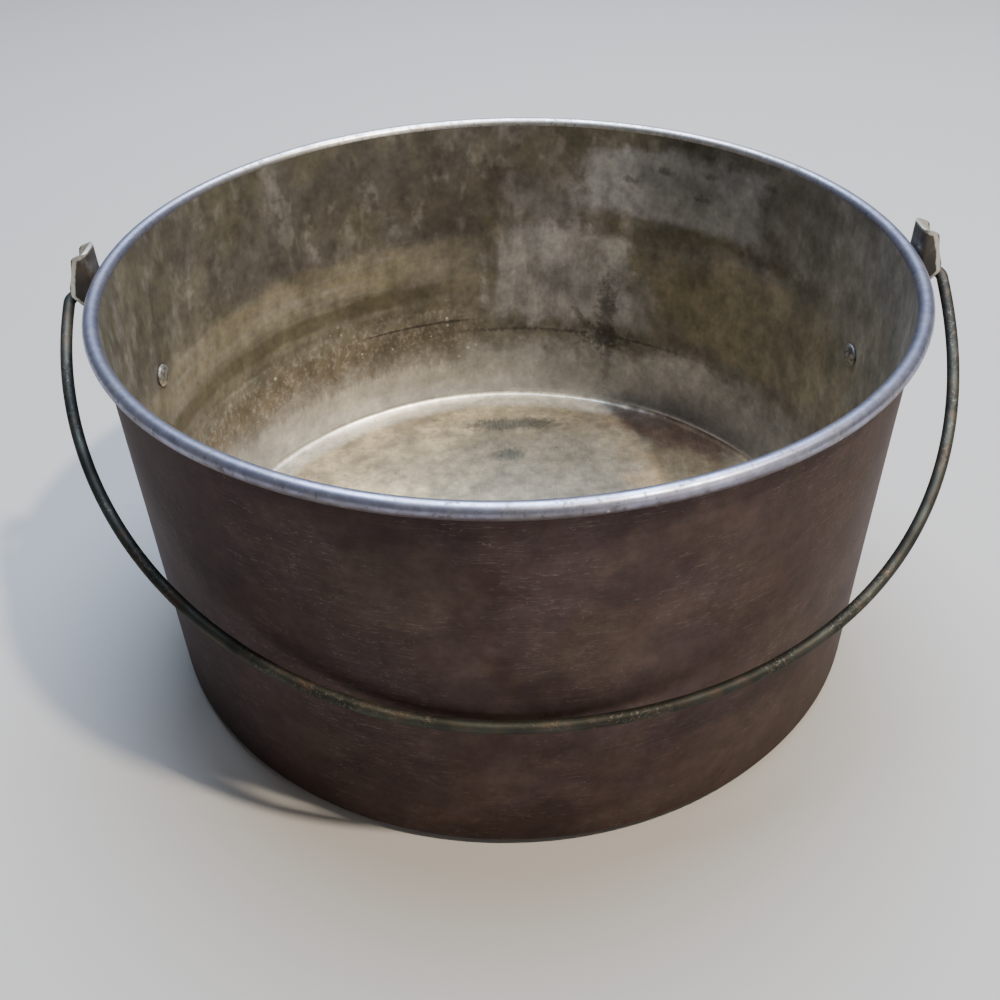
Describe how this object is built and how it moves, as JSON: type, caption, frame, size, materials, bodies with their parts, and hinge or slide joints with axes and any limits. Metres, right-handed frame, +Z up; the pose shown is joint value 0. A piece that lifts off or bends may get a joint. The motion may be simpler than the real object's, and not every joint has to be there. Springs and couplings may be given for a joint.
{
  "type": "bucket",
  "caption": "Low, wide old metal pail with straight sides and a rolled rim, riveted ears and a swinging wire bail, tarnished and water-stained inside.",
  "frame": {"origin": "centre of the pail's flat base, on the surface it stands on", "axes": "+Z up along the pail's axis, X through the two ears with +X at the right ear, and the bail rests on the front of the wall, on the -Y side"},
  "size_m": [0.2522, 0.2302, 0.1233],
  "materials": {
    "pail_sheet": "tarnished and water-stained, dull",
    "ear_sheet": "tarnished, dull",
    "rivet_steel": "worn, satin",
    "bail_wire": "dark oxide, satin"
  },
  "bodies": {
    "pail": {"pail_body": "pail_sheet", "left_ear": "ear_sheet", "right_ear": "ear_sheet", "left_ear_rivet_front": "rivet_steel", "left_ear_rivet_back": "rivet_steel", "right_ear_rivet_front": "rivet_steel", "right_ear_rivet_back": "rivet_steel"},
    "bail": {"bail": "bail_wire"}
  },
  "joints": [
    {"name": "bail_hinge", "type": "hinge", "parent": "pail", "child": "bail", "pos_m": [0, 0, 0.1096], "axis": [-1, 0, 0], "range_deg": [0, 234.5]}
  ]
}
